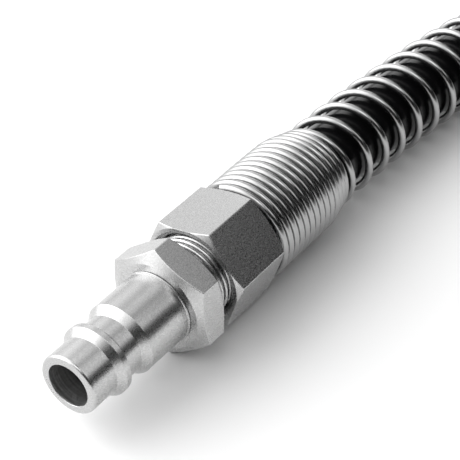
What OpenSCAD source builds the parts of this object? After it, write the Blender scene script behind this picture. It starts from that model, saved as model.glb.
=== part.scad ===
// Spiral air hose: a coiled plastic hose with a quick plug on one end and a threaded outlet
// on the other. Each end is clamped by a union nut that also carries a wire spring guard.
// The plug lies along +X, its open end at the origin. Sizes are in millimetres.

/* [Quick plug] */
// Bore at the plug's open end
air_bore_d = 7.2; // [6.6:0.1:7.8]
// Depth of the wide bore before it narrows
air_bore_len = 16; // [12:1:20]
// Outside diameter of the nose
nose_d = 10; // [9.6:0.1:10.6]
// Length of the nose
nose_len = 4.95; // [4:0.05:7]
// Rounding of the nose's front edge
nose_edge = 0.5; // [0.2:0.1:0.6]
// Diameter of the collar behind the nose
collar_d = 12; // [11.4:0.1:12.8]
// Length of the slope from the nose up to the collar
collar_slope = 1.1; // [0.8:0.1:1.6]
// Width of the collar's rim
collar_land = 1.05; // [0.8:0.05:1.6]
// Diameter of the groove that the coupling's balls catch in
groove_d = 10.1; // [9.4:0.1:10.8]
// Length of the groove
groove_len = 3.4; // [3:0.1:4.5]
// Length of the slope from the groove up to the shank
shank_slope = 1.3; // [0.8:0.1:1.8]
// Diameter of the shank
shank_d = 12.2; // [11.6:0.1:12.8]
// Length of the shank
shank_len = 8.45; // [7:0.05:11]
// Diameter of the small bead at the shank's end
bead_d = 12.6; // [12.4:0.1:13.2]
// Width of the bead
bead_w = 0.35; // [0.2:0.05:0.6]

/* [Hexagons and screw joint] */
// Width of the plug's hexagon across its flats
plug_hex_af = 17; // [16:0.5:20]
// Length of the plug's hexagon
plug_hex_len = 5.8; // [5:0.1:8]
// Angle at which one corner of the plug's hexagon points, from +Y towards +Z
plug_hex_turn = 23.5; // [0:0.5:59]
// Diameter of the turned face at the ends of a hexagon
hex_face_d = 15; // [14.8:0.1:15.6]
// Slope of the chamfer at the ends of a hexagon, from its face
hex_chamfer_angle = 26.5; // [20:0.5:35]
// Outside diameter of the fine thread under the union nut
thread_d = 14; // [13.2:0.1:14.2]
// Length of the fine thread
thread_len = 8.6; // [7.5:0.1:10]
// Pitch of the fine thread
thread_pitch = 1; // [0.75:0.25:1.5]
// Depth of the fine thread
thread_depth = 0.6; // [0.3:0.05:0.7]
// Width of the undercut between the hexagon and the thread
undercut_w = 0.8; // [0.4:0.1:1]

/* [Hose and barb] */
// Outside diameter of the hose
hose_d = 12; // [11.6:0.1:12.2]
// Inside diameter of the hose
hose_bore_d = 8; // [7.4:0.1:8.4]
// Length of the barbed stem inside the hose
barb_len = 13; // [9:1:14]
// Diameter over the barb's ridges
barb_d = 9; // [8.8:0.1:9.4]
// Number of ridges on the barb
barb_ridges = 4; // [3:1:5]
// Diameter of the bore through the barb
stem_bore_d = 5.5; // [4.5:0.1:6]
// Clearance between the barb and the hose on it
hose_clear = 0.05; // [0.03:0.01:0.1]

/* [Union nut] */
// Width of the union nut across its flats
nut_hex_af = 17; // [16.5:0.5:20]
// Length of the union nut's hexagon
nut_hex_len = 12.5; // [11:0.05:16]
// Diameter of the union nut's flat front face, where its corner chamfer starts
nut_face_d = 17.3; // [16.8:0.1:18]
// Diameter of the countersink in that face
nut_mouth_d = 16; // [15:0.1:16.4]
// Angle at which one corner of the union nut points, from +Y towards +Z
nut_hex_turn = 48.5; // [0:0.5:59]
// Gap left between the hexagon and the union nut
nut_gap = 2.6; // [1.5:0.05:3]
// Clearance between the fine thread and the union nut
thread_clear = 0.1; // [0.05:0.01:0.2]
// Clearance between the hose and the union nut
nut_clear = 0.15; // [0.1:0.01:0.2]
// Diameter of the sleeve behind the nut that carries the spring guard
sleeve_d = 14.8; // [14.6:0.1:15]
// Length of the sleeve
sleeve_len = 14.5; // [10:0.5:16]

/* [Spring guard] */
// Diameter of the spring wire
wire_d = 1.35; // [1.2:0.05:1.35]
// Clearance between the sleeve and the spring on it
guard_clear = 0.25; // [0.2:0.05:0.4]
// Outside diameter of the open turns
guard_open_d = 15.6; // [15.2:0.1:16]
// Spacing of the first closed turn
close_pitch = 1.54; // [1.5:0.02:1.7]
// Spacing of the last closed turn
end_pitch = 1.38; // [1.38:0.02:1.5]
// Number of closed turns at the plug
close_turns = 13.8; // [10:0.1:15]
// Spacing of the open turns
open_pitch = 5.5; // [4.5:0.1:6]
// Number of open turns at the plug
open_turns = 13; // [10:1:14]
// Number of closed turns at the outlet
outlet_close_turns = 13; // [10:1:15]
// Number of open turns at the outlet
outlet_open_turns = 5; // [3:1:7]

/* [Hose coil] */
// Diameter of the coil at the middle of its turns
coil_d = 109; // [100:1:118]
// Number of turns in the coil, which stands on its first turn
coil_turns = 14; // [10:1:16]
// Spacing of the coil's turns
coil_pitch = 12.2; // [12.1:0.1:13]

/* [Outlet end] */
// Outside diameter of the outlet's pipe thread
outlet_d = 13.2; // [12.8:0.1:13.4]
// Length of the outlet's pipe thread
outlet_len = 9; // [8:0.5:12]
// Length of the outlet's hexagon
outlet_hex_len = 6; // [5:0.5:8]
// Outside diameter of the sealing ring
seal_d = 16.6; // [15.8:0.1:17]
// Thickness of the sealing ring
seal_t = 1.5; // [1:0.1:2]
// Clearance between the sealing ring and the outlet's stem
seal_clear = 0.1; // [0.05:0.01:0.2]

/* [Hidden] */
$fn = 96;

metal = [0.78, 0.79, 0.80];
wire_metal = [0.86, 0.87, 0.88];
hose_black = [0.07, 0.07, 0.08];
seal_black = [0.16, 0.16, 0.17];
eps = 0.01;

// Places along the plug, from its open end
collar_x = nose_len + collar_slope;
groove_x = collar_x + collar_land;
groove_end_x = groove_x + groove_len;
shank_x = groove_end_x + shank_slope;
bead_x = shank_x + shank_len;
plug_hex_x = bead_x + bead_w;
thread_x = plug_hex_x + plug_hex_len;
// Places along a screw joint, from the hexagon's back face
barb_x = thread_len;
barb_tip_x = barb_x + barb_len;
nut_x = nut_gap;
nut_back_x = nut_x + nut_hex_len;
sleeve_end_x = nut_back_x + sleeve_len;
nut_cone_x = thread_len + 1.2;
nut_cone_len = 2;
barb_root_d = hose_bore_d - 0.2;
land_edge = 0.25;
thread_lead = 0.5;
mouth_edge = 0.4;
tip_bevel = 0.6;
// Narrowing of the outlet's stem under its sealing ring
relief_depth = 0.3;
relief_x = -outlet_hex_len - seal_t - 0.1;

// The wire's own places
guard_close_r = sleeve_d / 2 + guard_clear + wire_d / 2;
guard_open_r = guard_open_d / 2 - wire_d / 2;
guard_first_x = nut_back_x + wire_d / 2 - 0.27;
taper_turns = 3.5;
opening_turns = 0.4;
dead_turns = 0.8;
turn_steps = 16;
wire_sides = 6;
guard_start_angle = 65;

// The coil's turns run clockwise seen from above. Angles on it run the same way, from +Y.
coil_middle = [206, -83];
coil_join_angle = 14.5;
first_turn_angle = 300;
first_turn_z = -3.75;
top_turn_z = first_turn_z + (coil_turns - 1) * coil_pitch;
function on_coil(a, z) = [coil_middle.x + coil_d / 2 * sin(a), coil_middle.y + coil_d / 2 * cos(a), z];
function coil_heading(a) = [cos(a), -sin(a), 0];

// Route of the hose's middle, from the plug's sleeve round the coil's first turn
sleeve_mouth = [thread_x + sleeve_end_x, 0, 0];
plug_route = concat(
    [[66, 0, -0.5], [80, -0.1, -1.2], [98, -1.3, -1.7], [112, -3.2, -1.9], [126, -5.9, -1.9],
    [138, -9, -1.9], [152, -12.6, -3.3], [168, -16.8, -3.75], [186, -21.4, -3.75],
    [204, -26.1, -3.75]],
    [for (a = [0:20:first_turn_angle]) on_coil(coil_join_angle + a, first_turn_z)]);
// Route of the hose's middle on top of the coil, to the outlet that lies on its top turn
outlet_rises = [[-78, 12.2], [-66, 12.4], [-54, 13.3], [-42, 14.3], [-30, 15.1], [-18, 15.7]];
outlet_route = [for (rise = outlet_rises) on_coil(rise[0], top_turn_z + rise[1])];
outlet_z = top_turn_z + hose_d / 2 + plug_hex_af / 2 / cos(30) + 0.1;
outlet_mouth_back = 5;
outlet_mouth = [coil_middle.x - outlet_mouth_back, coil_middle.y + coil_d / 2, outlet_z];

// Basic shapes about the X axis. Angles run from +Y towards +Z.
module about_x(x = 0) translate([x, 0, 0]) rotate([90, 0, 90]) children();
module turned(profile) about_x() rotate_extrude() polygon(profile);
module bored(x0, x1, d) about_x(x0) cylinder(h = x1 - x0, d = d);

// A turned hexagon bar with a chamfer at both ends
module hexagon(x, len, af, turn, front_d) {
    corner_r = af / 2 / cos(30);
    outer_r = corner_r + 1;
    front_x = x + (outer_r - front_d / 2) * tan(hex_chamfer_angle);
    back_x = x + len - (outer_r - hex_face_d / 2) * tan(hex_chamfer_angle);
    intersection() {
        about_x(x) rotate(turn) cylinder(h = len, r = corner_r, $fn = 6);
        turned([[0, x], [front_d / 2, x], [outer_r, front_x], [outer_r, back_x],
            [hex_face_d / 2, x + len], [0, x + len]]);
    }
}

// Half outlines, as points of radius and place
function arc_points(r, x, edge, a0, a1) = [for (i = [0:4])
    let (a = a0 + (a1 - a0) * i / 4) [r - edge + edge * cos(a), x + edge * sin(a)]];
function thread_points(x0, x1) = let (
    count = floor((x1 - x0) / thread_pitch), crest = thread_pitch / 8)
    [for (i = [0:count - 1]) let (x = x0 + i * thread_pitch) each [
        [thread_d / 2 - thread_depth, x + crest],
        [thread_d / 2, x + thread_pitch / 2 - crest],
        [thread_d / 2, x + thread_pitch / 2 + crest]]];
ridge_len = (barb_len - tip_bevel) / barb_ridges;
function barb_points(x, grow) = [for (i = [0:barb_ridges - 1]) let (x0 = x + i * ridge_len) each [
    [barb_root_d / 2 + grow, x0],
    [barb_root_d / 2 + grow, x0 + 0.3 * ridge_len - grow],
    [barb_d / 2 + grow, x0 + 0.4 * ridge_len - grow],
    [barb_d / 2 + grow, x0 + 0.5 * ridge_len + grow]]];

// Fine thread and barbed stem behind a hexagon whose back face is at x
module barbed_stem(x) {
    thread_end = x + barb_x - thread_lead;
    turned(concat(
        [[0, x], [thread_d / 2 - thread_depth, x],
        [thread_d / 2 - thread_depth, x + undercut_w]],
        thread_points(x + undercut_w, thread_end),
        [[thread_d / 2 - thread_depth, thread_end], [thread_d / 2 - thread_depth, x + barb_x]],
        barb_points(x + barb_x, 0),
        [[barb_root_d / 2, x + barb_tip_x - tip_bevel],
        [barb_root_d / 2 - tip_bevel, x + barb_tip_x], [0, x + barb_tip_x]]));
}

// Union nut with its clamping cone and sleeve, for a hexagon whose back face is at x = 0
module union_nut() {
    thread_hole_d = thread_d + 2 * thread_clear;
    hose_hole_d = hose_d + 2 * nut_clear;
    difference() {
        union() {
            hexagon(nut_x, nut_hex_len, nut_hex_af, nut_hex_turn, nut_face_d);
            turned([[0, nut_back_x - 1], [sleeve_d / 2, nut_back_x - 1],
                [sleeve_d / 2, sleeve_end_x - mouth_edge],
                [sleeve_d / 2 - mouth_edge, sleeve_end_x], [0, sleeve_end_x]]);
        }
        bored(nut_x - 1, nut_cone_x, thread_hole_d);
        turned([[0, nut_x - 1], [nut_mouth_d / 2, nut_x - 1], [nut_mouth_d / 2, nut_x],
            [thread_hole_d / 2, nut_x + (nut_mouth_d - thread_hole_d) / 2],
            [0, nut_x + (nut_mouth_d - thread_hole_d) / 2]]);
        bored(nut_cone_x - eps, sleeve_end_x + 1, hose_hole_d);
        turned([[0, nut_cone_x - eps], [thread_hole_d / 2, nut_cone_x - eps],
            [thread_hole_d / 2, nut_cone_x],
            [hose_hole_d / 2, nut_cone_x + nut_cone_len], [0, nut_cone_x + nut_cone_len]]);
    }
}

// Hose over a barb, for a hexagon whose back face is at x = 0
module clamped_hose() {
    x0 = barb_x + hose_clear;
    turned(concat(
        [[hose_d / 2, sleeve_end_x], [hose_d / 2, x0], [barb_root_d / 2 + hose_clear, x0]],
        [for (p = barb_points(barb_x, hose_clear)) if (p[1] > x0) p],
        [[hose_bore_d / 2, barb_tip_x - tip_bevel + hose_clear], [hose_bore_d / 2, sleeve_end_x]]));
}

// Smooth curve through a route's points, with steps places in each span
function blend4(a, b, c, d, u) = 0.5 * (2 * b + (c - a) * u + (2 * a - 5 * b + 4 * c - d) * u * u
    + (3 * b - a - 3 * c + d) * u * u * u);
function smooth(p, steps) = let (n = len(p) - 1) concat(
    [for (i = [0:n - 1], j = [0:steps - 1]) let (
        before = i == 0 ? 2 * p[0] - p[1] : p[i - 1],
        after = i == n - 1 ? 2 * p[n] - p[n - 1] : p[i + 2])
        blend4(before, p[i], p[i + 1], after, j / steps)],
    [p[n]]);
// Distance run along a list of points, up to each point
function run_lengths(p) = [for (i = 0, s = 0; i < len(p);
    s = i < len(p) - 1 ? s + norm(p[i + 1] - p[i]) : s, i = i + 1) s];
function table(p, s, k) = [for (i = [0:len(p) - 1]) [s[i], p[i][k]]];
function unit(v) = v / norm(v);
function direction(p, i) = unit(p[min(i + 1, len(p) - 1)] - p[max(i - 1, 0)]);
function across(t) = unit(cross([0, 0, 1], t));

// One closed skin over rings of points, each ring with the same number of points
module skin(rings) {
    n = len(rings[0]);
    m = len(rings);
    points = [for (ring = rings, p = ring) p];
    sides = [for (i = [0:m - 2], j = [0:n - 1]) let (k = (j + 1) % n) each [
        [i * n + j, i * n + k, (i + 1) * n + k],
        [i * n + j, (i + 1) * n + k, (i + 1) * n + j]]];
    ends = [[for (j = [n - 1:-1:0]) j], [for (j = [0:n - 1]) (m - 1) * n + j]];
    polyhedron(points = points, faces = concat(sides, ends), convexity = 8);
}

// Plain round tube of the hose's outside along a list of points, first to last
module hose_along(p, first, last) {
    sides = 10;
    skin([for (i = [0:len(p) - 1]) let (
        t = i == 0 ? first : i == len(p) - 1 ? last : direction(p, i),
        side = across(t), up = cross(t, side))
        [for (j = [0:sides - 1]) let (a = -360 * j / sides)
            p[i] + hose_d / 2 * (cos(a) * side + sin(a) * up)]]);
}

// Spacing of a guard's turns, after n turns: closed, opening, open, closed again
function guard_pitch(n, closed, opened) = lookup(n, [[0, close_pitch], [closed, end_pitch],
    [closed + opening_turns, open_pitch], [closed + opened, open_pitch],
    [closed + opened + opening_turns, end_pitch]]);
function guard_radius(n, closed) = lookup(n, [[0, guard_close_r], [closed - taper_turns, guard_close_r],
    [closed + opening_turns, guard_open_r]]);

// Spring guard along a smooth list of points that starts at a hexagon's back face
module spring_guard(p, closed, opened) {
    s = run_lengths(p);
    tx = table(p, s, 0);
    ty = table(p, s, 1);
    tz = table(p, s, 2);
    count = round((closed + opened + opening_turns + dead_turns) * turn_steps);
    at = [for (i = 0, d = guard_first_x; i <= count;
        i = i + 1, d = d + guard_pitch((i - 0.5) / turn_steps, closed, opened) / turn_steps) d];
    coil = [for (i = [0:count]) let (
        middle = [lookup(at[i], tx), lookup(at[i], ty), lookup(at[i], tz)],
        ahead = [lookup(at[i] + 2, tx), lookup(at[i] + 2, ty), lookup(at[i] + 2, tz)],
        back = [lookup(at[i] - 2, tx), lookup(at[i] - 2, ty), lookup(at[i] - 2, tz)],
        side = across(unit(ahead - back)), up = cross(unit(ahead - back), side),
        a = guard_start_angle + 360 * i / turn_steps, r = guard_radius(i / turn_steps, closed))
        [middle, middle + r * (cos(a) * side + sin(a) * up)]];
    wire = [for (c = coil) c[1]];
    skin([for (i = [0:count]) let (
        t = direction(wire, i), out = unit(coil[i][1] - coil[i][0]),
        u = unit(out - (out * t) * t), v = cross(t, u))
        [for (j = [0:wire_sides - 1]) let (a = -360 * (j + 0.5) / wire_sides)
            wire[i] + wire_d / 2 * (cos(a) * u + sin(a) * v)]]);
}

plug_path = smooth(concat([[thread_x, 0, 0], [thread_x + nut_back_x, 0, 0], sleeve_mouth],
    plug_route), 6);
outlet_path = smooth(concat([outlet_mouth + [sleeve_end_x, 0, 0],
    outlet_mouth + [sleeve_len, 0, 0], outlet_mouth],
    [for (i = [len(outlet_route) - 1:-1:0]) outlet_route[i]]), 6);

// Carries a screw joint's piece to the outlet, turned to face the other way
module at_outlet() translate(outlet_mouth + [sleeve_end_x, 0, 0]) rotate([0, 0, 180]) children();

module plug_body() {
    bore_step = (air_bore_d - stem_bore_d) / 2;
    color(metal) difference() {
        union() {
            turned(concat(
                [[0, 0]],
                arc_points(nose_d / 2, nose_edge, nose_edge, -90, 0),
                [[nose_d / 2, nose_len], [collar_d / 2, collar_x]],
                arc_points(collar_d / 2, groove_x - land_edge, land_edge, 0, 90),
                [[groove_d / 2, groove_x], [groove_d / 2, groove_end_x],
                [shank_d / 2 - 0.05, shank_x], [shank_d / 2, shank_x + land_edge],
                [shank_d / 2, bead_x]],
                [for (a = [-60:30:60]) [shank_d / 2 + (bead_d - shank_d) / 2 * cos(a),
                    bead_x + bead_w / 2 * (1 + a / 60)]],
                [[shank_d / 2, plug_hex_x + eps], [0, plug_hex_x + eps]]));
            hexagon(plug_hex_x, plug_hex_len, plug_hex_af, plug_hex_turn, hex_face_d);
            barbed_stem(thread_x);
        }
        bored(-1, air_bore_len, air_bore_d);
        bored(air_bore_len - eps, thread_x + barb_tip_x + 1, stem_bore_d);
        turned([[0, air_bore_len - eps], [air_bore_d / 2, air_bore_len - eps],
            [air_bore_d / 2, air_bore_len], [stem_bore_d / 2, air_bore_len + bore_step],
            [0, air_bore_len + bore_step]]);
    }
}

module plug_union_nut() {
    color(metal) translate([thread_x, 0, 0]) union_nut();
}

module plug_spring_guard() {
    color(wire_metal) spring_guard(plug_path, close_turns, open_turns);
}

module hose_plug_end() {
    color(hose_black) translate([thread_x, 0, 0]) clamped_hose();
}

module hose_plug_tail() {
    color(hose_black) hose_along(smooth(concat([sleeve_mouth], plug_route), 2),
        [1, 0, 0], coil_heading(coil_join_angle + first_turn_angle));
}

module hose_coil() {
    wall = hose_d / 2;
    color(hose_black) translate([coil_middle.x, coil_middle.y, first_turn_z]) rotate_extrude() {
        for (i = [1:coil_turns - 1]) translate([coil_d / 2, i * coil_pitch]) circle(d = hose_d);
        translate([coil_d / 2 - wall / 2, coil_pitch])
            square([wall, (coil_turns - 2) * coil_pitch]);
    }
}

module hose_outlet_tail() {
    color(hose_black) hose_along(smooth(concat(outlet_route, [outlet_mouth]), 2),
        coil_heading(outlet_rises[0][0]), [1, 0, 0]);
}

module hose_outlet_end() {
    color(hose_black) at_outlet() clamped_hose();
}

module outlet_spring_guard() {
    color(wire_metal) spring_guard(outlet_path, outlet_close_turns, outlet_open_turns);
}

module outlet_union_nut() {
    color(metal) at_outlet() union_nut();
}

module outlet_connector() {
    stem_x = -outlet_hex_len - outlet_len;
    relief_r = outlet_d / 2 - relief_depth;
    color(metal) at_outlet() difference() {
        union() {
            hexagon(-outlet_hex_len, outlet_hex_len, plug_hex_af, plug_hex_turn, hex_face_d);
            barbed_stem(0);
            turned([[0, stem_x], [outlet_d / 2 - 1, stem_x], [outlet_d / 2, stem_x + 1],
                [outlet_d / 2, relief_x], [relief_r, relief_x],
                [relief_r, eps - outlet_hex_len], [0, eps - outlet_hex_len]]);
        }
        bored(stem_x - 1, barb_tip_x + 1, stem_bore_d);
    }
}

module outlet_seal_ring() {
    color(seal_black) at_outlet() difference() {
        bored(-outlet_hex_len - seal_t, -outlet_hex_len, seal_d);
        bored(-outlet_hex_len - seal_t - 1, 1 - outlet_hex_len, outlet_d + 2 * seal_clear);
    }
}

plug_body();
plug_union_nut();
plug_spring_guard();
hose_plug_end();
hose_plug_tail();
hose_coil();
hose_outlet_tail();
hose_outlet_end();
outlet_spring_guard();
outlet_union_nut();
outlet_connector();
outlet_seal_ring();
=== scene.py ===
# Spiral air hose: finished pieces, materials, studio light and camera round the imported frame.
# Sizes in the dictionaries are in millimetres unless a note says otherwise.
import math

import bpy
from mathutils import Matrix, Vector


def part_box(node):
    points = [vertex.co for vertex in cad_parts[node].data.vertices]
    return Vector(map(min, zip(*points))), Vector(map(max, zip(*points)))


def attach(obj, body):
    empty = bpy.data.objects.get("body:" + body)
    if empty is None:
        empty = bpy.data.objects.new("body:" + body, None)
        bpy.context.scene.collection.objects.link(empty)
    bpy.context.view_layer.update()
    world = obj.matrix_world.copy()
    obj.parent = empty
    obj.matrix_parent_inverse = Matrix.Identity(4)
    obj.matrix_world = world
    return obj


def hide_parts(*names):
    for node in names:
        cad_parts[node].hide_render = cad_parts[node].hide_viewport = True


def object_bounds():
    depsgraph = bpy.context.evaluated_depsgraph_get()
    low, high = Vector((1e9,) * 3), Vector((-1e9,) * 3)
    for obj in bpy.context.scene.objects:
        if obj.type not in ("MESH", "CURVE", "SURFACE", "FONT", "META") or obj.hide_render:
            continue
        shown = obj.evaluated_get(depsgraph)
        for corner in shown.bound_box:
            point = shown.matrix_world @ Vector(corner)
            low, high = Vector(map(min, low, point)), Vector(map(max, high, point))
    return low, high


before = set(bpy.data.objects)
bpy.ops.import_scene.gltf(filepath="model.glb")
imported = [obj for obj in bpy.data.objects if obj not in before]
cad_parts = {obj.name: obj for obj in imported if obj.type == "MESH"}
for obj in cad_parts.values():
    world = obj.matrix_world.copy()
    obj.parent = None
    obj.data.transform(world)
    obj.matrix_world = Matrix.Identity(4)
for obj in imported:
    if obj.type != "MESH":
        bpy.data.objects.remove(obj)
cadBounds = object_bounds()
scene = bpy.context.scene
scene.view_settings.view_transform = "Standard"
mm = 0.001
floorZ = cadBounds[0].z
print("frame loaded")


def addNode(tree, kind, settings={}, inputs={}):
    # an input is a plain value, or the output socket that feeds it
    node = tree.nodes.new(kind)
    for key, value in settings.items():
        setattr(node, key, value)
    for key, value in inputs.items():
        if isinstance(value, bpy.types.NodeSocket):
            tree.links.new(value, node.inputs[key])
        else:
            node.inputs[key].default_value = value
    return node


def linearColour(hexText):
    # sRGB hex to the linear colour that Blender's sockets take
    values = [int(hexText[i:i + 2], 16) / 255 for i in (1, 3, 5)]
    return [v / 12.92 if v <= 0.04045 else ((v + 0.055) / 1.055) ** 2.4 for v in values] + [1.0]


def makePiece(name, points, faces, materials, finishes=None):
    mesh = bpy.data.meshes.new(name)
    mesh.from_pydata(points, [], faces)
    for material in materials:
        mesh.materials.append(material)
    if finishes:
        mesh.polygons.foreach_set("material_index", finishes)
    mesh.shade_smooth()
    piece = bpy.data.objects.new(name, mesh)
    scene.collection.objects.link(piece)
    return piece


def smoothRoute(route, steps):
    # the same smooth curve through a route's points as the CAD source draws
    route = [Vector(p) for p in route]
    first, last = 2 * route[0] - route[1], 2 * route[-1] - route[-2]
    points = []
    for a, b, c, d in zip([first] + route, route, route[1:], route[2:] + [last]):
        for step in range(steps):
            u = step / steps
            points.append(0.5 * (2 * b + (c - a) * u + (2 * a - 5 * b + 4 * c - d) * u * u
                                 + (3 * b - a - 3 * c + d) * u ** 3))
    return points + [route[-1]]


def runLength(points):
    return sum((b - a).length for a, b in zip(points, points[1:]))


cameraSettings = {
    "place": (-108.52, -106.42, 151.24),
    "ahead": (0.6284, 0.4525, -0.6327),  # direction it looks in
    "lens": 117.39,
    "sensor": 36.0,
    "nearest": 10.0,
}
camera = bpy.data.objects.new("camera", bpy.data.cameras.new("camera"))
camera.data.lens = cameraSettings["lens"]
camera.data.sensor_width = cameraSettings["sensor"]
camera.data.sensor_fit = "HORIZONTAL"
camera.data.clip_start = cameraSettings["nearest"] * mm
camera.location = Vector(cameraSettings["place"]) * mm
camera.rotation_mode = "QUATERNION"
camera.rotation_quaternion = Vector(cameraSettings["ahead"]).to_track_quat("-Z", "Y")
scene.collection.objects.link(camera)
scene.camera = camera
print("camera placed")


def newMaterial(name):
    material = bpy.data.materials.new(name)
    material.use_nodes = True
    material.node_tree.nodes.clear()
    return material, material.node_tree


zincSettings = {
    "plating": "#c7c7c7",       # bright zinc
    "platingDull": "#b9b9b9",   # its duller specks
    "dullBetween": (0.3, 0.7),  # values of the noise over which it turns dull
    "peel": 0.9,                # width of the plating's slow unevenness
    "grain": 0.2,               # and of its fine grain
    "drawnOut": 0.05,           # scale of the drawn lines along X
    "faceRings": 1.6,           # rings on a face for each one along a shank
    # width of the specks, roughness of bright and dull plating, depths of peel and grain,
    # spacing and depth of the tool marks
    "turned": {
        "speck": 0.28, "roughness": (0.26, 0.30), "depths": (0.0009, 0.0009),
        "marks": (0.16, 0.0008)},
    "drawn": {
        "speck": 0.24, "roughness": (0.30, 0.24), "depths": (0.0004, 0.0017),
        "marks": (0.3, 0.0006)},
    "drilled": {
        "speck": 0.5, "roughness": (0.34, 0.46), "depths": (0.004, 0.004),
        "marks": (0.8, 0.08)},
}


def zincPlatedSteel(name, axis, finish):
    # bright zinc on steel: a pale satin mirror with duller specks, rings left by the turning
    # tool, fine lengthwise lines on the drawn flats, and coarser, duller rings in drilled bores
    z, f = zincSettings, zincSettings[finish]
    spacing, markDepth = f["marks"]
    material, tree = newMaterial(name)
    place = addNode(tree, "ShaderNodeTexCoord").outputs["Object"]
    specks = addNode(tree, "ShaderNodeTexNoise", {}, {
        "Vector": place, "Scale": 1 / (f["speck"] * mm), "Detail": 3.0, "Roughness": 0.6})
    dullness = addNode(tree, "ShaderNodeMapRange", {"interpolation_type": "SMOOTHSTEP"}, {
        "Value": specks.outputs["Fac"], "From Min": z["dullBetween"][0],
        "From Max": z["dullBetween"][1]}).outputs[0]
    colour = addNode(tree, "ShaderNodeMix", {"data_type": "RGBA"}, {
        "Factor": dullness, "A": linearColour(z["plating"]), "B": linearColour(z["platingDull"])})
    roughness = addNode(tree, "ShaderNodeMapRange", {}, {
        "Value": dullness, "To Min": f["roughness"][0], "To Max": f["roughness"][1]})
    if finish == "drawn":
        lengthwise = addNode(tree, "ShaderNodeMapping", {}, {
            "Vector": place, "Scale": (z["drawnOut"], 1.0, 1.0)})
        marks = addNode(tree, "ShaderNodeTexNoise", {}, {
            "Vector": lengthwise.outputs[0], "Scale": 1 / (spacing * mm), "Detail": 2.0})
    else:
        centred = addNode(tree, "ShaderNodeMapping", {}, {
            "Vector": place, "Location": (0, -axis[1], -axis[2])}).outputs[0]
        split = addNode(tree, "ShaderNodeSeparateXYZ", {}, {0: centred})
        spoke = addNode(tree, "ShaderNodeCombineXYZ", {}, {
            "Y": split.outputs["Y"], "Z": split.outputs["Z"]})
        radius = addNode(tree, "ShaderNodeVectorMath", {"operation": "LENGTH"}, {
            0: spoke.outputs[0]})
        along = addNode(tree, "ShaderNodeMath", {"operation": "MULTIPLY_ADD"}, {
            0: radius.outputs["Value"], 1: z["faceRings"], 2: split.outputs["X"]})
        marks = addNode(tree, "ShaderNodeTexNoise", {"noise_dimensions": "1D"}, {
            "W": along.outputs[0], "Scale": 1 / (spacing * mm), "Detail": 1.0})
    peel = addNode(tree, "ShaderNodeTexNoise", {}, {
        "Vector": place, "Scale": 1 / (z["peel"] * mm), "Detail": 1.0})
    grain = addNode(tree, "ShaderNodeTexNoise", {}, {
        "Vector": place, "Scale": 1 / (z["grain"] * mm), "Detail": 1.0})
    normal = None
    for texture, distance in ((peel, f["depths"][0]), (grain, f["depths"][1]), (marks, markDepth)):
        inputs = {"Height": texture.outputs["Fac"], "Distance": distance * mm, "Strength": 1.0}
        if normal:
            inputs["Normal"] = normal
        normal = addNode(tree, "ShaderNodeBump", {}, inputs).outputs[0]
    shader = addNode(tree, "ShaderNodeBsdfPrincipled", {}, {
        "Base Color": colour.outputs["Result"], "Metallic": 1.0,
        "Roughness": roughness.outputs[0], "Normal": normal})
    addNode(tree, "ShaderNodeOutputMaterial", {}, {"Surface": shader.outputs[0]})
    return material


# width and detail of the unevenness, roughness across it, and its depth
unevenFinishes = {
    # drawn spring steel, bright from the die: a clean mirror, slightly streaked
    "drawnSpringWire": {
        "width": 0.5, "detail": 4.0, "roughness": (0.19, 0.29), "depth": 0.002,
        "colour": "#a8a8a8", "shader": {"Metallic": 1.0}},
    # extruded polyurethane tube: deep black with a wet gloss, faintly uneven from the die
    "blackPolyurethane": {
        "width": 2.5, "detail": 2.0, "roughness": (0.12, 0.22), "depth": 0.008,
        "colour": "#0b0b0c", "shader": {"IOR": 1.5, "Specular IOR Level": 0.16}},
    # moulded nitrile seal: matt dark grey, bloomed and slightly grainy
    "nitrileRubber": {
        "width": 0.4, "detail": 3.0, "roughness": (0.55, 0.75), "depth": 0.01,
        "colour": "#232324", "shader": {}},
}


def unevenFinish(name):
    # one unevenness that shows both in the gloss and in the relief
    f = unevenFinishes[name]
    material, tree = newMaterial(name)
    place = addNode(tree, "ShaderNodeTexCoord").outputs["Object"]
    waves = addNode(tree, "ShaderNodeTexNoise", {}, {
        "Vector": place, "Scale": 1 / (f["width"] * mm), "Detail": f["detail"]}).outputs["Fac"]
    roughness = addNode(tree, "ShaderNodeMapRange", {}, {
        "Value": waves, "To Min": f["roughness"][0], "To Max": f["roughness"][1]})
    bump = addNode(tree, "ShaderNodeBump", {}, {"Height": waves, "Distance": f["depth"] * mm})
    shader = addNode(tree, "ShaderNodeBsdfPrincipled", {}, {
        "Base Color": linearColour(f["colour"]), "Roughness": roughness.outputs[0],
        "Normal": bump.outputs[0], **f["shader"]})
    addNode(tree, "ShaderNodeOutputMaterial", {}, {"Surface": shader.outputs[0]})
    return material


plugAxis = (0, 0, 0)
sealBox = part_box("outlet_seal_ring")
outletAxis = (0, (sealBox[0].y + sealBox[1].y) / 2, (sealBox[0].z + sealBox[1].z) / 2)
zincTurned = zincPlatedSteel("zincOnTurnedSteel", plugAxis, "turned")
zincDrawn = zincPlatedSteel("zincOnDrawnHexBar", plugAxis, "drawn")
zincDrilled = zincPlatedSteel("zincInDrilledBore", plugAxis, "drilled")
zincTurnedOutlet = zincPlatedSteel("zincOnTurnedSteelOutlet", outletAxis, "turned")
zincDrilledOutlet = zincPlatedSteel("zincInDrilledBoreOutlet", outletAxis, "drilled")
springSteel = unevenFinish("drawnSpringWire")
hosePlastic = unevenFinish("blackPolyurethane")
sealRubber = unevenFinish("nitrileRubber")
print("materials made")


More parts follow.
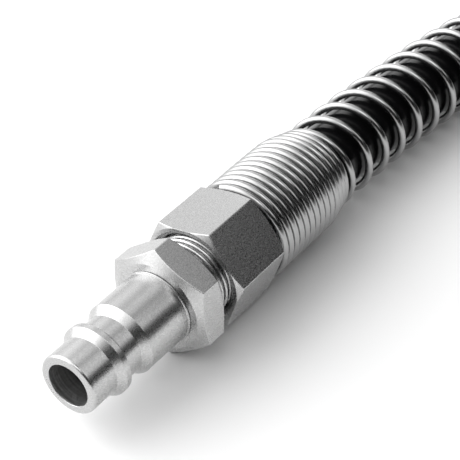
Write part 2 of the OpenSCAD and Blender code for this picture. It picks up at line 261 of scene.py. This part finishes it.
hose = {
    "outside": 12.0,
    "bore": 8.0,
    "boreOnBarb": 9.1,       # stretched over the barbed stem
    "barbLength": 13.5,
    "sides": 32,
    "stepsPerSpan": 3,
    # metres and turns: the coil stands on its first turn, and each turn lies flat before it
    # climbs onto the next one
    "coilMiddle": (0.206, -0.083),
    "coilRadius": 0.0545,
    "coilPitch": 0.0122,
    "firstTurnZ": -0.00375,
    "layers": 14,
    "joinAngle": 14.5,          # degrees clockwise from +Y, as all angles on the coil are
    "pointsPerTurn": 24,
    "climb": (0.6, 0.95),       # share of a turn
    "lastClimb": (0.4, 0.743),
    "plugEnd": [(0.0351, 0, 0), (0.0455, 0, 0), (0.056, 0, 0)],  # the last is the nut's mouth
    "plugRoute": [
        (0.066, 0, -0.0005), (0.080, -0.0001, -0.0012), (0.098, -0.0013, -0.0017),
        (0.112, -0.0032, -0.0019), (0.126, -0.0059, -0.0019), (0.138, -0.009, -0.0019),
        (0.152, -0.0126, -0.0033), (0.168, -0.0168, -0.00375), (0.186, -0.0214, -0.00375),
        (0.204, -0.0261, -0.00375)],
    # angle on the coil, and metres above the middle of its top turn
    "outletRises": [(-78, 0.0122), (-66, 0.0124), (-54, 0.0133), (-42, 0.0143), (-30, 0.0151),
                    (-18, 0.0157)],
    "outletMouthX": 0.201,
    "lengthInNut": 0.02095,
}


def onCoil(degrees, z):
    angle = math.radians(degrees)
    x, y = hose["coilMiddle"]
    return (x + hose["coilRadius"] * math.sin(angle), y + hose["coilRadius"] * math.cos(angle), z)


def coilPoints():
    last = hose["layers"] - 1 + hose["lastClimb"][1]
    for i in range(int(last * hose["pointsPerTurn"])):
        turn = i / hose["pointsPerTurn"]
        layer = int(turn)
        start, end = hose["lastClimb"] if layer == hose["layers"] - 1 else hose["climb"]
        climb = min(max((turn - layer - start) / (end - start), 0), 1)
        height = hose["coilPitch"] * (layer + climb * climb * (3 - 2 * climb))
        yield onCoil(hose["joinAngle"] + 360 * turn, hose["firstTurnZ"] + height)


def outletPoints():
    topZ = hose["firstTurnZ"] + (hose["layers"] - 1) * hose["coilPitch"]
    return [onCoil(angle, topZ + rise) for angle, rise in hose["outletRises"]]


def hoseTube():
    mouth, inNut = Vector((hose["outletMouthX"], *outletAxis[1:])), hose["lengthInNut"]
    outletEnd = [mouth, mouth + Vector((inNut / 2, 0, 0)), mouth + Vector((inNut, 0, 0))]
    middle = smoothRoute([*hose["plugEnd"], *hose["plugRoute"], *coilPoints(), *outletPoints(),
                          *outletEnd], hose["stepsPerSpan"])
    total = runLength(middle)
    outer, inner = hose["outside"] / 2 * mm, hose["bore"] / 2 * mm
    stretched, onBarb = hose["boreOnBarb"] / 2 * mm, hose["barbLength"] * mm
    side = Vector((0, 1, 0))
    walls = [[], []]
    run = 0.0
    for i, point in enumerate(middle):
        run += (point - middle[i - 1]).length if i else 0.0
        ahead = (middle[min(i + 1, len(middle) - 1)] - middle[max(i - 1, 0)]).normalized()
        side = (side - side.dot(ahead) * ahead).normalized()  # carried along without twist
        up = ahead.cross(side)
        bore = stretched if min(run, total - run) < onBarb else inner
        for wall, radius in zip(walls, (outer, bore)):
            wall.append([point + radius * (math.cos(a) * side + math.sin(a) * up)
                         for a in (math.tau * j / hose["sides"] for j in range(hose["sides"]))])
    rings = walls[0] + walls[1][::-1]  # out along the outside and back through the bore
    return middle, total, closedSkin("spiral_hose", rings, [hosePlastic])


def closedSkin(name, rings, materials, finishes=None):
    # joins the rings in a closed loop, so that the skin has no ends
    sides = len(rings[0])
    faces, finish = [], []
    for i in range(len(rings)):
        here, there = i * sides, (i + 1) % len(rings) * sides
        for j in range(sides):
            k = (j + 1) % sides
            faces.append((here + j, here + k, there + k, there + j))
            finish.append(finishes[i] if finishes else 0)
    return makePiece(name, [p for ring in rings for p in ring], faces, materials, finish)


hoseMiddle, hoseLength, hosePiece = hoseTube()
print("hose made, metres:", round(hoseLength, 3))


hexagons = {
    "acrossFlats": 17.0,
    "face": 15.0,           # turned face at the ends
    "nutFace": 17.3,        # and at the union nuts' front
    "chamferAngle": 26.5,
    "cornerRound": 0.22,
    "edge": 0.16,           # rounding between chamfer and flat
    "faceEdge": 0.06,       # and between chamfer and face
    "clear": 0.02,          # kept between two corners of an outline that would meet
    "plugTurn": 23.5,       # where a corner points, in degrees from +Y towards +Z
    "nutTurn": 48.5,
    # degrees from a corner at which a ring has points: close round the corner, then even steps
    "cornerAngles": (-0.62, -0.4, -0.2, 0, 0.2, 0.4, 0.62),
    "flatStart": 1.2,
    "flatSteps": 26,
}
rounding = {
    "steps": 4,
    "guard": 0.04,          # beyond an edge's ends, so that smooth shading stays flat beside it
    "guardShare": 0.2,      # and at most this share of the edge's reach
    "sideShare": 0.42,      # most of a side that one edge may take
    "leastAngle": 0.2,      # radians
}
# the names of edges give how far each corner of the outline is rounded
plug = {
    "bore": 7.2, "boreDepth": 16.0, "stemBore": 5.5,
    "nose": 10.0, "noseLength": 4.95,
    "collar": 12.0, "collarSlope": 1.1, "collarWidth": 1.05,
    "groove": 10.1, "grooveLength": 3.4, "shankSlope": 1.3,
    "shank": 12.2, "shankLength": 8.45, "bead": 12.6, "beadWidth": 0.35, "beadSlope": 0.08,
    "hexLength": 5.8,
    "edges": {"mouth": 0.12, "nose": 0.5, "noseFoot": 0.06, "turned": 0.08, "collarBack": 0.14,
              "beadFoot": 0.04, "bore": 0.1},
}
screwJoint = {
    "threadRoot": 12.8, "threadLength": 8.6, "threadBevel": 0.3,
    "barbLength": 13.0, "barbRoot": 7.8, "barb": 9.0, "ridges": 4, "tipBevel": 0.6,
    "ridgeShares": (0.3, 0.4, 0.5),  # of a ridge's length, where it rises, tops out and falls
    "nutGap": 2.6, "nutLength": 12.5, "nutBore": 14.2, "nutMouth": 16.0,
    "coneStart": 1.2, "coneLength": 2.0, "hoseHole": 12.3,
    "sleeve": 14.8, "sleeveLength": 14.5,
    "edges": {"foot": 0.12, "thread": 0.05, "barb": 0.1, "ridge": 0.05, "nutBore": 0.05,
              "nutMouth": 0.04, "sleeveFoot": 0.15, "sleeve": 0.4, "inside": 0.1},
}
outlet = {
    "hexLength": 6.0, "stem": 11.5, "stemLength": 9.0, "tipBevel": 0.9, "tipDepth": 0.3,
    "seal": 16.6, "sealHole": 13.4, "sealThickness": 1.5,
    "edges": {"tip": 0.1, "bevel": 0.05, "sealHole": 0.2, "seal": 0.3},
}
turned, drawn, drilled = range(3)  # places in a piece's list of materials


def hexRadius(angle, turn):
    # distance from the axis to a hexagon with slightly rounded corners
    half, cornerRound = hexagons["acrossFlats"] / 2, hexagons["cornerRound"]
    offCorner = abs((math.degrees(angle) - turn + 30) % 60 - 30)  # from the nearest corner
    centre = (half - cornerRound) / math.cos(math.radians(30))
    reach = math.atan2(cornerRound / 2, centre + cornerRound * math.cos(math.radians(30)))
    if math.radians(offCorner) < reach:
        off = math.radians(offCorner)
        return centre * math.cos(off) + math.sqrt(cornerRound ** 2 - (centre * math.sin(off)) ** 2)
    return half / math.cos(math.radians(30 - offCorner))


def ringAngles(turn):
    # close together at the corners, and even between them
    start, steps = hexagons["flatStart"], hexagons["flatSteps"]
    even = [start + (60 - 2 * start) * i / steps for i in range(steps + 1)]
    return [math.radians(turn + 60 * side + a)
            for side in range(6) for a in [*hexagons["cornerAngles"], *even]]


def softened(corners):
    # a closed outline of (x, radius, edge, finish after it), with each edge rounded between two
    # close guard points
    points, finishes = [], []
    for i, (x, r, edge, finish) in enumerate(corners):
        here = Vector((x, r))
        last = corners[i - 1][3]
        before = Vector(corners[i - 1][:2]) - here
        after = Vector(corners[(i + 1) % len(corners)][:2]) - here
        reach = edge / math.tan(max(before.angle(after), rounding["leastAngle"]) / 2)
        reach = min(reach, rounding["sideShare"] * min(before.length, after.length))
        guard = reach + min(rounding["guard"], rounding["guardShare"] * reach)
        a, b = before.normalized(), after.normalized()
        points.append(here + a * guard)
        finishes.append(last)
        for step in range(rounding["steps"] + 1):
            u = step / rounding["steps"]
            points.append(here + a * reach * (1 - u) ** 2 + b * reach * u ** 2)
            finishes.append(last if u < 0.5 else finish)
        points.append(here + b * guard)
        finishes.append(finish)
    return points, finishes


def turnedPiece(name, outlineAt, turn, materials, place):
    # an outline turned round the X axis; outlineAt(angle) gives it with the hexagon's own
    # distance there, so each flat and its curved edge come out exact
    angles = ringAngles(turn)
    outlines = [softened(outlineAt(angle)) for angle in angles]
    finishes = outlines[0][1]
    rings = []
    for i in range(len(finishes)):
        rings.append([place @ (Vector((points[i].x, points[i].y * math.cos(angle),
                                       points[i].y * math.sin(angle))) * mm)
                      for angle, (points, _) in zip(angles, outlines)])
    return closedSkin(name, rings, materials, finishes)


def hexOutline(x, length, angle, turn, frontFace):
    # the two chamfers and the flat between them, from the front face to the back one
    h = hexagons
    front, back, radius = frontFace / 2, h["face"] / 2, hexRadius(angle, turn)
    steep = math.tan(math.radians(h["chamferAngle"]))
    frontSlope, backSlope = max(radius - front, 0.0) * steep, (radius - back) * steep
    return [(x, min(front, radius - h["clear"]), h["faceEdge"], turned),
            (x + frontSlope + h["clear"], radius, h["edge"], drawn),
            (x + length - backSlope, radius, h["edge"], turned),
            (x + length, back, h["faceEdge"], turned)]


def stemOutline(x):
    # thread root and barbed stem behind a hexagon whose back face is at x
    j, edges = screwJoint, screwJoint["edges"]
    root, barbRoot, barb = j["threadRoot"] / 2, j["barbRoot"] / 2, j["barb"] / 2
    start, end = x + j["threadLength"], x + j["threadLength"] + j["barbLength"]
    ridge = (j["barbLength"] - j["tipBevel"]) / j["ridges"]
    rise, top, fall = (share * ridge for share in j["ridgeShares"])
    corners = [(x, root, edges["foot"], turned),
               (start - j["threadBevel"], root, edges["thread"], turned),
               (start, root - j["threadBevel"], edges["thread"], turned),
               (start, barbRoot, edges["barb"], turned)]
    for ridgeX in (start + i * ridge for i in range(j["ridges"])):
        corners += [(ridgeX + rise, barbRoot, edges["barb"], turned),
                    (ridgeX + top, barb, edges["ridge"], turned),
                    (ridgeX + fall, barb, edges["ridge"], turned),
                    (ridgeX + ridge, barbRoot, edges["ridge"], turned)]
    return corners + [(end, barbRoot - j["tipBevel"], edges["barb"], turned),
                      (end, plug["stemBore"] / 2, edges["barb"], drilled)]


def plugOutline(angle):
    p, edges = plug, plug["edges"]
    names = ("bore", "stemBore", "nose", "collar", "groove", "shank", "bead")
    bore, stemBore, nose, collar, groove, shank, bead = (p[name] / 2 for name in names)
    collarX = p["noseLength"] + p["collarSlope"]
    grooveX = collarX + p["collarWidth"]
    grooveEnd = grooveX + p["grooveLength"]
    shankX = grooveEnd + p["shankSlope"]
    beadX = shankX + p["shankLength"]
    hexX = beadX + p["beadWidth"]
    return [
        (0, bore, edges["mouth"], turned), (0, nose, edges["nose"], turned),
        (p["noseLength"], nose, edges["noseFoot"], turned),
        (collarX, collar, edges["turned"], turned), (grooveX, collar, edges["collarBack"], turned),
        (grooveX, groove, edges["turned"], turned), (grooveEnd, groove, edges["turned"], turned),
        (shankX, shank, edges["turned"], turned), (beadX, shank, edges["beadFoot"], turned),
        (beadX + p["beadSlope"], bead, edges["turned"], turned),
        (hexX - p["beadSlope"], bead, edges["turned"], turned),
        (hexX, shank, edges["beadFoot"], turned),
        *hexOutline(hexX, p["hexLength"], angle, hexagons["plugTurn"], hexagons["face"]),
        *stemOutline(hexX + p["hexLength"]),
        (p["boreDepth"] + bore - stemBore, stemBore, edges["bore"], drilled),
        (p["boreDepth"], bore, edges["bore"], drilled)]


def nutOutline(angle):
    j, edges = screwJoint, screwJoint["edges"]
    back = j["nutGap"] + j["nutLength"]
    end = back + j["sleeveLength"]
    bore, mouth, hole = j["nutBore"] / 2, j["nutMouth"] / 2, j["hoseHole"] / 2
    sleeve, cone = j["sleeve"] / 2, j["threadLength"] + j["coneStart"]
    shape = hexOutline(j["nutGap"], j["nutLength"], angle, hexagons["nutTurn"], hexagons["nutFace"])
    return [
        (j["nutGap"] + mouth - bore, bore, edges["nutBore"], turned),
        (j["nutGap"], mouth, edges["nutMouth"], turned), *shape[:3],
        (back, sleeve, edges["sleeveFoot"], turned), (end, sleeve, edges["sleeve"], turned),
        (end, hole, edges["inside"], turned),
        (cone + j["coneLength"], hole, edges["inside"], turned),
        (cone, bore, edges["inside"], turned)]


def connectorOutline(angle):
    o, edges = outlet, outlet["edges"]
    stem, stemX = o["stem"] / 2, -o["hexLength"] - o["stemLength"]
    return [
        (stemX, plug["stemBore"] / 2, edges["tip"], turned),
        (stemX, stem - o["tipDepth"], edges["tip"], turned),
        (stemX + o["tipBevel"], stem, edges["bevel"], turned),
        (-o["hexLength"], stem, edges["tip"], turned),
        *hexOutline(-o["hexLength"], o["hexLength"], angle, hexagons["plugTurn"], hexagons["face"]),
        *stemOutline(0)]


def sealOutline(angle):
    o, edges = outlet, outlet["edges"]
    near, far = -o["hexLength"] - o["sealThickness"], -o["hexLength"]
    return [(near, o["sealHole"] / 2, edges["sealHole"], turned),
            (near, o["seal"] / 2, edges["seal"], turned),
            (far, o["seal"] / 2, edges["seal"], turned),
            (far, o["sealHole"] / 2, edges["sealHole"], turned)]


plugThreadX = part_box("plug_union_nut")[0].x - screwJoint["nutGap"] * mm
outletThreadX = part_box("outlet_union_nut")[1].x + screwJoint["nutGap"] * mm
atOrigin = Matrix.Identity(4)
atPlugThread = Matrix.Translation((plugThreadX, 0, 0))
atOutlet = Matrix.Translation((outletThreadX, *outletAxis[1:])) @ Matrix.Rotation(math.pi, 4, "Z")

plugBody = turnedPiece("quick_plug", plugOutline, hexagons["plugTurn"],
                       [zincTurned, zincDrawn, zincDrilled], atOrigin)
plugNut = turnedPiece("union_nut", nutOutline, hexagons["nutTurn"],
                      [zincTurned, zincDrawn], atPlugThread)
outletNut = turnedPiece("outlet_nut", nutOutline, hexagons["nutTurn"],
                        [zincTurnedOutlet, zincDrawn], atOutlet)
connector = turnedPiece("outlet_fitting", connectorOutline, hexagons["plugTurn"],
                        [zincTurnedOutlet, zincDrawn, zincDrilledOutlet], atOutlet)
sealRing = turnedPiece("outlet_seal", sealOutline, hexagons["plugTurn"], [sealRubber], atOutlet)
print("turned pieces made")


def newTree(name, numbers):
    # a tree with a geometry input and output, and one named number input for each size
    tree = bpy.data.node_groups.new(name, "GeometryNodeTree")
    tree.interface.new_socket("Geometry", in_out="INPUT", socket_type="NodeSocketGeometry")
    for key in numbers:
        tree.interface.new_socket(key, in_out="INPUT", socket_type="NodeSocketFloat")
    tree.interface.new_socket("Material", in_out="INPUT", socket_type="NodeSocketMaterial")
    tree.interface.new_socket("Geometry", in_out="OUTPUT", socket_type="NodeSocketGeometry")
    return tree, tree.nodes.new("NodeGroupInput").outputs


def finishTree(tree, geometry, material):
    smooth = addNode(tree, "GeometryNodeSetShadeSmooth", {}, {"Geometry": geometry})
    real = addNode(tree, "GeometryNodeRealizeInstances", {}, {"Geometry": smooth.outputs[0]})
    coloured = addNode(tree, "GeometryNodeSetMaterial", {}, {
        "Geometry": real.outputs[0], "Material": material})
    addNode(tree, "NodeGroupOutput", {}, {"Geometry": coloured.outputs[0]})


def grownPiece(name, tree, points, numbers, material):
    # runs the tree on a line through the points, and keeps its result as a plain mesh
    curve = bpy.data.curves.new(name + "_line", "CURVE")
    curve.dimensions = "3D"
    line = curve.splines.new("POLY")
    line.points.add(len(points) - 1)
    for target, point in zip(line.points, points):
        target.co = (*point, 1)
    holder = bpy.data.objects.new(name + "_line", curve)
    scene.collection.objects.link(holder)
    modifier = holder.modifiers.new("grow", "NODES")
    modifier.node_group = tree
    values = {**numbers, "Material": material}
    for item in tree.interface.items_tree:
        if item.in_out == "INPUT" and item.name in values:
            modifier[item.identifier] = values[item.name]
    evaluated = holder.evaluated_get(bpy.context.evaluated_depsgraph_get())
    mesh = bpy.data.meshes.new_from_object(evaluated)
    mesh.name = name
    bpy.data.objects.remove(holder)
    piece = bpy.data.objects.new(name, mesh)
    scene.collection.objects.link(piece)
    return piece


spring = {
    "wire": 1.35, "closeRadius": 8.325, "openRadius": 7.125,
    "closePitch": 1.54, "endPitch": 1.38, "openPitch": 5.5,
    "taperTurns": 3.5, "openingTurns": 0.4, "deadTurns": 0.8,
    "startAngle": 65.0,       # degrees from the side towards up
    "start": 15.505,          # along the path from the hexagon's back face
    "straight": 15.1,         # to the path's second point, inside the nut
    "stepsPerSpan": 12,
    "stepsPerTurn": 40,
    "plugTurns": (13.8, 13),  # closed, open
    "outletTurns": (13, 5),
    "wireSides": 14,
}


def springTree():
    names = ["Wire Radius", "Close Radius", "Open Radius", "Close Pitch", "End Pitch", "Pitch Rise",
             "Taper Start", "Closed Turns", "Open Start", "Open End", "Close Again", "Start",
             "Start Angle", "Steps", "Points", "Sides"]
    tree, given = newTree("wireSpringAlongHose", names)
    index = addNode(tree, "GeometryNodeInputIndex").outputs[0]
    turns = addNode(tree, "ShaderNodeMath", {"operation": "DIVIDE"}, {
        0: index, 1: given["Steps"]}).outputs[0]
    halfStep = addNode(tree, "ShaderNodeMath", {"operation": "DIVIDE"}, {
        0: 0.5, 1: given["Steps"]}).outputs[0]
    midTurns = addNode(tree, "ShaderNodeMath", {"operation": "ADD"}, {
        0: turns, 1: halfStep}).outputs[0]
    # spacing of the turns: closed, then open, then closed again
    closed = addNode(tree, "ShaderNodeMapRange", {}, {
        "Value": midTurns, "From Min": 0.0, "From Max": given["Closed Turns"],
        "To Min": given["Close Pitch"], "To Max": given["End Pitch"]}).outputs[0]
    opening = addNode(tree, "ShaderNodeMapRange", {}, {
        "Value": midTurns, "From Min": given["Closed Turns"], "From Max": given["Open Start"],
        "To Min": 0.0, "To Max": given["Pitch Rise"]}).outputs[0]
    closing = addNode(tree, "ShaderNodeMapRange", {}, {
        "Value": midTurns, "From Min": given["Open End"], "From Max": given["Close Again"],
        "To Min": 0.0, "To Max": given["Pitch Rise"]}).outputs[0]
    opened = addNode(tree, "ShaderNodeMath", {"operation": "ADD"}, {
        0: closed, 1: opening}).outputs[0]
    pitch = addNode(tree, "ShaderNodeMath", {"operation": "SUBTRACT"}, {
        0: opened, 1: closing}).outputs[0]
    advance = addNode(tree, "ShaderNodeMath", {"operation": "DIVIDE"}, {
        0: pitch, 1: given["Steps"]}).outputs[0]
    run = addNode(tree, "GeometryNodeAccumulateField", {"data_type": "FLOAT", "domain": "POINT"}, {
        "Value": advance}).outputs["Trailing"]
    distance = addNode(tree, "ShaderNodeMath", {"operation": "ADD"}, {
        0: run, 1: given["Start"]}).outputs[0]
    # the place on the hose's middle, and the directions across it
    here = addNode(tree, "GeometryNodeSampleCurve", {"mode": "LENGTH", "use_all_curves": True}, {
        "Curves": given["Geometry"], "Length": distance})
    ahead = here.outputs["Tangent"]
    across = addNode(tree, "ShaderNodeVectorMath", {"operation": "CROSS_PRODUCT"}, {
        0: (0, 0, 1), 1: ahead}).outputs[0]
    side = addNode(tree, "ShaderNodeVectorMath", {"operation": "NORMALIZE"}, {0: across}).outputs[0]
    around = addNode(tree, "ShaderNodeMath", {"operation": "MULTIPLY_ADD"}, {
        0: turns, 1: math.tau, 2: given["Start Angle"]}).outputs[0]
    spoke = addNode(tree, "ShaderNodeVectorRotate", {"rotation_type": "AXIS_ANGLE"}, {
        "Vector": side, "Axis": ahead, "Angle": around}).outputs[0]
    radius = addNode(tree, "ShaderNodeMapRange", {}, {
        "Value": turns, "From Min": given["Taper Start"], "From Max": given["Open Start"],
        "To Min": given["Close Radius"], "To Max": given["Open Radius"]}).outputs[0]
    offset = addNode(tree, "ShaderNodeVectorMath", {"operation": "SCALE"}, {
        0: spoke, "Scale": radius}).outputs[0]
    place = addNode(tree, "ShaderNodeVectorMath", {"operation": "ADD"}, {
        0: here.outputs["Position"], 1: offset}).outputs[0]
    line = addNode(tree, "GeometryNodeMeshLine", {"mode": "OFFSET"}, {
        "Count": given["Points"], "Offset": (mm, 0, 0)}).outputs[0]
    placed = addNode(tree, "GeometryNodeSetPosition", {}, {
        "Geometry": line, "Position": place}).outputs[0]
    wire = addNode(tree, "GeometryNodeMeshToCurve", {}, {"Mesh": placed}).outputs[0]
    section = addNode(tree, "GeometryNodeCurvePrimitiveCircle", {"mode": "RADIUS"}, {
        "Resolution": given["Sides"], "Radius": given["Wire Radius"]}).outputs[0]
    swept = addNode(tree, "GeometryNodeCurveToMesh", {}, {
        "Curve": wire, "Profile Curve": section, "Fill Caps": True}).outputs[0]
    finishTree(tree, swept, given["Material"])
    return tree


def wireSpring(name, tree, route, turns):
    closed, opened = turns
    s = spring
    openStart = closed + s["openingTurns"]
    total = closed + opened + s["openingTurns"] + s["deadTurns"]
    numbers = {
        "Wire Radius": s["wire"] / 2 * mm, "Close Radius": s["closeRadius"] * mm,
        "Open Radius": s["openRadius"] * mm, "Close Pitch": s["closePitch"] * mm,
        "End Pitch": s["endPitch"] * mm, "Pitch Rise": (s["openPitch"] - s["endPitch"]) * mm,
        "Taper Start": closed - s["taperTurns"], "Closed Turns": float(closed),
        "Open Start": openStart, "Open End": float(closed + opened),
        "Close Again": closed + opened + s["openingTurns"], "Start": s["start"] * mm,
        "Start Angle": math.radians(s["startAngle"]), "Steps": float(s["stepsPerTurn"]),
        "Points": float(round(total * s["stepsPerTurn"]) + 1), "Sides": float(s["wireSides"])}
    return grownPiece(name, tree, smoothRoute(route, s["stepsPerSpan"]), numbers,
                      springSteel)


springNodes = springTree()
straight = spring["straight"] * mm
plugSpringRoute = [(plugThreadX, 0, 0), (plugThreadX + straight, 0, 0), hose["plugEnd"][-1],
                   *hose["plugRoute"]]
outletSpringRoute = [(outletThreadX, *outletAxis[1:]), (outletThreadX - straight, *outletAxis[1:]),
                     (hose["outletMouthX"], *outletAxis[1:]), *outletPoints()[::-1]]
plugSpring = wireSpring("spring_guard", springNodes, plugSpringRoute, spring["plugTurns"])
outletSpring = wireSpring("outlet_spring", springNodes, outletSpringRoute, spring["outletTurns"])
print("springs wound")


thread = {
    # start: from the hexagon's back face, and for the pipe thread from the stem's tip
    "fine": {"crest": 14.0, "root": 12.8, "pitch": 1.0, "start": 0.9, "turns": 7.2},
    "pipe": {"crest": 13.16, "root": 11.5, "pitch": 1.337, "start": 0.6, "turns": 4.6},
    "stepsPerTurn": 48,
    "sink": 0.06,        # how far the ridge goes into the core
    "runOut": 0.06,      # share of its length over which each end fades
    "footShare": 0.86,   # widths of the ridge's foot and crest, as shares of the pitch
    "crestShare": 0.14,
}


def threadTree():
    names = ["Radius", "Pitch", "Turns", "Steps", "Depth", "Foot Width", "Crest Width", "Run Out"]
    tree, given = newTree("helicalThread", names)
    points = addNode(tree, "ShaderNodeMath", {"operation": "MULTIPLY_ADD"}, {
        0: given["Turns"], 1: given["Steps"], 2: 1.0}).outputs[0]
    line = addNode(tree, "GeometryNodeMeshLine", {"mode": "OFFSET"}, {
        "Count": points, "Offset": (mm, 0, 0)}).outputs[0]
    index = addNode(tree, "GeometryNodeInputIndex").outputs[0]
    turns = addNode(tree, "ShaderNodeMath", {"operation": "DIVIDE"}, {
        0: index, 1: given["Steps"]}).outputs[0]
    angle = addNode(tree, "ShaderNodeMath", {"operation": "MULTIPLY"}, {
        0: turns, 1: math.tau}).outputs[0]
    share = addNode(tree, "ShaderNodeMath", {"operation": "DIVIDE"}, {
        0: turns, 1: given["Turns"]}).outputs[0]
    # 1 along the thread and falling to 0 at each end
    fromEnd = addNode(tree, "ShaderNodeMath", {"operation": "PINGPONG"}, {
        0: share, 1: 0.5}).outputs[0]
    full = addNode(tree, "ShaderNodeMapRange", {}, {
        "Value": fromEnd, "From Min": 0.0, "From Max": given["Run Out"]}).outputs[0]
    sunk = addNode(tree, "ShaderNodeMapRange", {}, {
        "Value": full, "To Min": given["Depth"], "To Max": 0.0}).outputs[0]
    radius = addNode(tree, "ShaderNodeMath", {"operation": "SUBTRACT"}, {
        0: given["Radius"], 1: sunk}).outputs[0]
    rise = addNode(tree, "ShaderNodeMath", {"operation": "MULTIPLY"}, {
        0: turns, 1: given["Pitch"]}).outputs[0]
    spoke = addNode(tree, "ShaderNodeCombineXYZ", {}, {"X": radius, "Z": rise}).outputs[0]
    place = addNode(tree, "ShaderNodeVectorRotate", {"rotation_type": "Z_AXIS"}, {
        "Vector": spoke, "Angle": angle}).outputs[0]
    placed = addNode(tree, "GeometryNodeSetPosition", {}, {
        "Geometry": line, "Position": place}).outputs[0]
    helix = addNode(tree, "GeometryNodeMeshToCurve", {}, {"Mesh": placed}).outputs[0]
    upright = addNode(tree, "GeometryNodeSetCurveNormal", {"mode": "Z_UP"}, {
        "Curve": helix}).outputs[0]
    ridge = addNode(tree, "GeometryNodeCurvePrimitiveQuadrilateral", {"mode": "TRAPEZOID"}, {
        "Height": given["Depth"], "Bottom Width": given["Foot Width"],
        "Top Width": given["Crest Width"], "Offset": 0.0}).outputs[0]
    section = addNode(tree, "GeometryNodeTransform", {}, {
        "Geometry": ridge, "Rotation": (0, 0, -math.pi / 2)}).outputs[0]
    swept = addNode(tree, "GeometryNodeCurveToMesh", {}, {
        "Curve": upright, "Profile Curve": section, "Fill Caps": True}).outputs[0]
    lying = addNode(tree, "GeometryNodeTransform", {}, {
        "Geometry": swept, "Rotation": (0, math.pi / 2, 0)}).outputs[0]
    finishTree(tree, lying, given["Material"])
    return tree


def helicalThread(name, tree, kind, place, offset, material):
    # offset is where the thread's zero lies along the X axis of place
    t = thread[kind]
    depth = (t["crest"] - t["root"]) / 2 + thread["sink"]
    numbers = {
        "Radius": (t["crest"] / 2 - depth / 2) * mm, "Pitch": t["pitch"] * mm, "Turns": t["turns"],
        "Steps": float(thread["stepsPerTurn"]), "Depth": depth * mm,
        "Foot Width": t["pitch"] * thread["footShare"] * mm,
        "Crest Width": t["pitch"] * thread["crestShare"] * mm,
        "Run Out": thread["runOut"]}
    piece = grownPiece(name, tree, [(0, 0, 0), (mm, 0, 0)], numbers, material)
    piece.data.transform(place @ Matrix.Translation(((offset + t["start"]) * mm, 0, 0)))
    return piece


def joinInto(main, extra):
    with bpy.context.temp_override(active_object=main, object=main,
                                   selected_editable_objects=[main, extra],
                                   selected_objects=[main, extra]):
        bpy.ops.object.join()


threadNodes = threadTree()
stemTip = -outlet["hexLength"] - outlet["stemLength"]
joinInto(plugBody, helicalThread("fine_thread", threadNodes, "fine", atPlugThread, 0, zincTurned))
joinInto(connector, helicalThread("fine_thread_outlet", threadNodes, "fine", atOutlet, 0,
                                  zincTurnedOutlet))
joinInto(connector, helicalThread("pipe_thread", threadNodes, "pipe", atOutlet, stemTip,
                                  zincTurnedOutlet))
print("threads cut")


hoseNodes = ["hose_plug_end", "hose_plug_tail", "hose_coil", "hose_outlet_tail", "hose_outlet_end"]
placed = [
    (plugBody, ["plug_body"], "plated_steel"),
    (plugNut, ["plug_union_nut"], "plated_steel"),
    (plugSpring, ["plug_spring_guard"], "spring_wire"),
    (hosePiece, hoseNodes, "hose_plastic"),
    (outletSpring, ["outlet_spring_guard"], "spring_wire"),
    (outletNut, ["outlet_union_nut"], "plated_steel"),
    (connector, ["outlet_connector"], "plated_steel"),
    (sealRing, ["outlet_seal_ring"], "seal_rubber"),
]
for piece, nodes, slotName in placed:
    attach(piece, "root")
    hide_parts(*nodes)
print("pieces placed")


studio = {
    "floorSize": 6.0,          # metres
    "floor": "#f6f6f6",
    "floorRoughness": 0.9,
    "floorGloss": 0.1,
    # soft boxes, strong enough to over-expose the floor beside the metal. Seen from the hose:
    # degrees from +X towards +Y, degrees up, half width of the even part, width of the soft
    # edge, strength
    "boxes": [(111, 30, 2, 76, 4.2), (-59, 50, 18, 8, 1.15), (10, 60, 7, 14, 1.0),
              (210, 61, 2, 21, 3.2), (30, 15, 8, 12, 1.8)],
}


def studioWorld():
    world = bpy.data.worlds.new("studio")
    world.use_nodes = True
    tree = world.node_tree
    tree.nodes.clear()
    direction = addNode(tree, "ShaderNodeTexCoord").outputs["Generated"]
    light = 0.0
    for around, up, even, soft, strength in studio["boxes"]:
        a, b = math.radians(around), math.radians(up)
        aim = (math.cos(b) * math.cos(a), math.cos(b) * math.sin(a), math.sin(b))
        nearness = addNode(tree, "ShaderNodeVectorMath", {"operation": "DOT_PRODUCT"}, {
            0: direction, 1: aim})
        off = addNode(tree, "ShaderNodeMath", {"operation": "ARCCOSINE"}, {
            0: nearness.outputs["Value"]})
        box = addNode(tree, "ShaderNodeMapRange", {"interpolation_type": "SMOOTHSTEP"}, {
            "Value": off.outputs[0], "From Min": math.radians(even),
            "From Max": math.radians(even + soft), "To Min": strength, "To Max": 0.0})
        light = addNode(tree, "ShaderNodeMath", {"operation": "ADD"}, {
            0: box.outputs[0], 1: light}).outputs[0]
    shader = addNode(tree, "ShaderNodeBackground", {}, {"Color": (1, 1, 1, 1), "Strength": light})
    addNode(tree, "ShaderNodeOutputWorld", {}, {"Surface": shader.outputs[0]})
    return world


def studioFloor():
    material, tree = newMaterial("paleFloor")
    shader = addNode(tree, "ShaderNodeBsdfPrincipled", {}, {
        "Base Color": linearColour(studio["floor"]), "Roughness": studio["floorRoughness"],
        "Specular IOR Level": studio["floorGloss"]})
    addNode(tree, "ShaderNodeOutputMaterial", {}, {"Surface": shader.outputs[0]})
    half = studio["floorSize"] / 2
    corners = [(x * half, y * half, floorZ) for x, y in ((-1, -1), (1, -1), (1, 1), (-1, 1))]
    floor = makePiece("floor", corners, [(0, 1, 2, 3)], [material])


scene.world = studioWorld()
studioFloor()
print("studio lit")

print("finishing")
